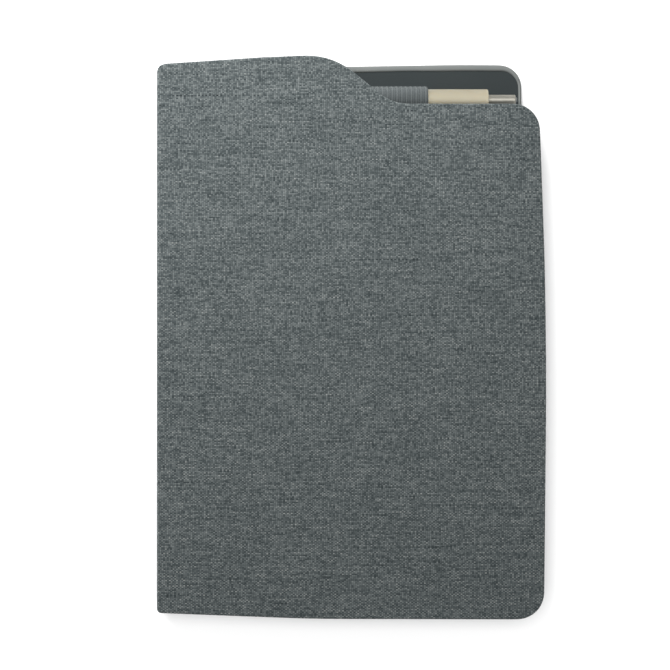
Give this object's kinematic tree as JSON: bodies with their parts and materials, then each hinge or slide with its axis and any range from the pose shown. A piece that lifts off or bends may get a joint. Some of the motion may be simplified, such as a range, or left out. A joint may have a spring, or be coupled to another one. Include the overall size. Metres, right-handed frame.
{
  "type": "tablet case",
  "caption": "Book-style fabric tablet case with a moulded tray, a cut-away front cover, an elastic pen loop and a slide-out stylus.",
  "frame": {"origin": "centre of the closed case's footprint, on its back face", "axes": "+Z out of the front cover, +Y towards the pen end, -X towards the spine"},
  "size_m": [0.1992, 0.2884, 0.018],
  "materials": {
    "melange_fabric": "plain weave, grey melange",
    "lining_microfibre": "fine brushed microfibre, charcoal",
    "greyboard": "matte",
    "foam": "matte closed-cell foam",
    "binding": "smooth soft polyurethane, light grey",
    "tray_tpu": "matte moulded",
    "adhesive": "satin",
    "window_ring": "matte",
    "elastic": "ribbed elastic webbing, grey",
    "thread": "polyester thread",
    "magnet": "nickel plated",
    "barrel": "satin, warm off-white",
    "nose_metal": "satin turned",
    "tip": "matte",
    "cartridge": "matte"
  },
  "bodies": {
    "back": {"back_fabric": "melange_fabric", "back_board": "greyboard", "back_lining": "lining_microfibre", "back_binding": "binding", "camera_ring": "window_ring", "tray_adhesive": "adhesive", "tray": "tray_tpu", "tray_liner": "lining_microfibre", "pen_loop": "elastic", "loop_stitches": "thread"},
    "spine": {"spine_fabric": "melange_fabric", "spine_board": "greyboard", "spine_lining": "lining_microfibre"},
    "front_cover": {"cover_fabric": "melange_fabric", "cover_foam": "foam", "cover_board": "greyboard", "cover_magnets": "magnet", "cover_lining": "lining_microfibre"},
    "stylus": {"stylus_barrel": "barrel", "stylus_end_cap": "barrel", "stylus_nose": "nose_metal", "stylus_cartridge": "cartridge"},
    "nib": {"stylus_nib": "tip"}
  },
  "joints": [
    {"name": "spine_hinge", "type": "hinge", "parent": "back", "child": "spine", "pos_m": [-0.0992, 0, 0.0003], "axis": [0, -1, 0], "range_deg": [0, 90]},
    {"name": "cover_hinge", "type": "hinge", "parent": "spine", "child": "front_cover", "pos_m": [-0.0992, 0, 0.0177], "axis": [0, -1, 0], "range_deg": [0, 90]},
    {"name": "stylus_slide", "type": "slide", "parent": "back", "child": "stylus", "axis": [1, 0, 0], "range_m": [0, 0.105]},
    {"name": "nib_press", "type": "slide", "parent": "stylus", "child": "nib", "axis": [-1, 0, 0], "range_m": [0, 0.0003]}
  ],
  "couplings": [
    {"joint": "cover_hinge", "follows": "spine_hinge", "ratio": 1}
  ]
}
